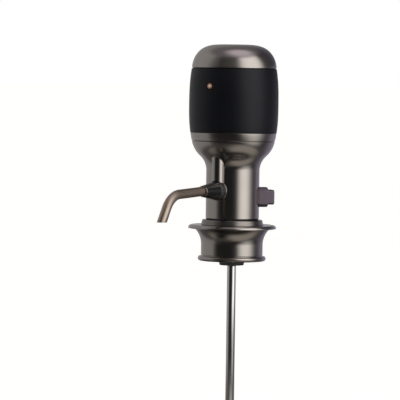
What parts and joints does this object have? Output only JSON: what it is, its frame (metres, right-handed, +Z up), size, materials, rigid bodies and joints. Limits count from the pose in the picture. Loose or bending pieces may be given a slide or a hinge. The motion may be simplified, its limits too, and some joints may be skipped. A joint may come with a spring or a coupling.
{
  "type": "electric wine aerator",
  "caption": "Battery pump head that plugs into a wine bottle, draws wine up a telescopic dip tube, mixes in air and pours it from a bent spout when its domed top is pressed.",
  "frame": {"origin": "on the axis, in the plane of the pad that rests on the bottle's lip", "axes": "+Z up along the axis, the spout points along -Y"},
  "size_m": [0.0616, 0.1212, 0.4051],
  "materials": {
    "gunmetal": "satin gunmetal anodising",
    "knob_metal": "satin",
    "spout_metal": "warm bronze plating",
    "grip": "soft matte",
    "nut_black": "half gloss",
    "tube_steel": "polished",
    "silicone": "matte",
    "pale_resin": "matte",
    "black_resin": "matte",
    "motor_steel": "zinc plated",
    "screw_steel": "bright",
    "cell_wrap": "gloss film",
    "copper": "plain",
    "board_green": "solder mask",
    "amber": "clear"
  },
  "bodies": {
    "base": {"base_collar": "gunmetal", "hub_ring": "gunmetal", "socket_bush": "black_resin", "bottle_stopper": "silicone"},
    "head": {"neck_shell": "gunmetal", "bayonet_ring": "black_resin", "spigot": "pale_resin", "spigot_oring": "silicone", "tube_seal": "silicone", "dip_tube_upper": "tube_steel", "tube_collar": "black_resin", "mixing_block": "pale_resin", "riser_hose": "silicone", "pump_head": "pale_resin", "valve_plate": "pale_resin", "diaphragm": "silicone", "wobble_plate": "black_resin", "pump_frame": "black_resin", "pump_screws": "screw_steel", "motor_can": "motor_steel", "motor_bell": "black_resin", "motor_leads": "copper", "outlet_pipe": "silicone", "spout_port": "pale_resin", "spout_nut": "nut_black", "spout_seal": "silicone", "spout_ferrule": "nut_black", "spout_tube": "spout_metal", "valve_bush": "pale_resin", "spindle_seal": "silicone", "battery_carrier": "black_resin", "carrier_top": "black_resin", "battery_cells": "cell_wrap", "contacts_lower": "motor_steel", "contacts_upper": "motor_steel", "carrier_screws": "screw_steel", "circuit_board": "board_green", "board_screws": "screw_steel", "switch_body": "black_resin", "indicator_led": "amber"},
    "rotor": {"motor_rotor": "motor_steel", "eccentric": "pale_resin"},
    "cover": {"cover_ring": "gunmetal", "cover_liner": "black_resin", "grip_sleeve": "grip", "led_lens": "amber"},
    "button": {"button_cap": "gunmetal", "button_carrier": "black_resin", "button_spring": "motor_steel"},
    "plunger": {"switch_plunger": "pale_resin"},
    "knob": {"air_knob": "knob_metal", "valve_spindle": "tube_steel"},
    "lower_tube": {"dip_tube_lower": "tube_steel"}
  },
  "joints": [
    {"name": "swivel", "type": "hinge", "parent": "base", "child": "head", "pos_m": [0, 0, 0], "axis": [0, 0, 1], "continuous": true},
    {"name": "cover_twist", "type": "hinge", "parent": "head", "child": "cover", "pos_m": [0, 0, 0], "axis": [0, 0, 1], "range_deg": [0, 30]},
    {"name": "button_press", "type": "slide", "parent": "cover", "child": "button", "axis": [0, 0, -1], "range_m": [0, 0.00035], "stiffness_N_per_m": 600, "springref_m": -0.004, "deforming": ["button_spring"]},
    {"name": "plunger_press", "type": "slide", "parent": "head", "child": "plunger", "axis": [0, 0, -1], "range_m": [0, 0.00035]},
    {"name": "knob_turn", "type": "hinge", "parent": "head", "child": "knob", "pos_m": [0, 0, 0.0281], "axis": [0.7071, 0.7071, 0], "range_deg": [0, 90]},
    {"name": "motor_spin", "type": "hinge", "parent": "head", "child": "rotor", "pos_m": [0, 0, 0], "axis": [0, 0, 1], "continuous": true},
    {"name": "tube_extend", "type": "slide", "parent": "head", "child": "lower_tube", "axis": [0, 0, -1], "range_m": [-0.05, 0.03]}
  ],
  "couplings": [
    {"joint": "plunger_press", "follows": "button_press", "ratio": 1}
  ]
}
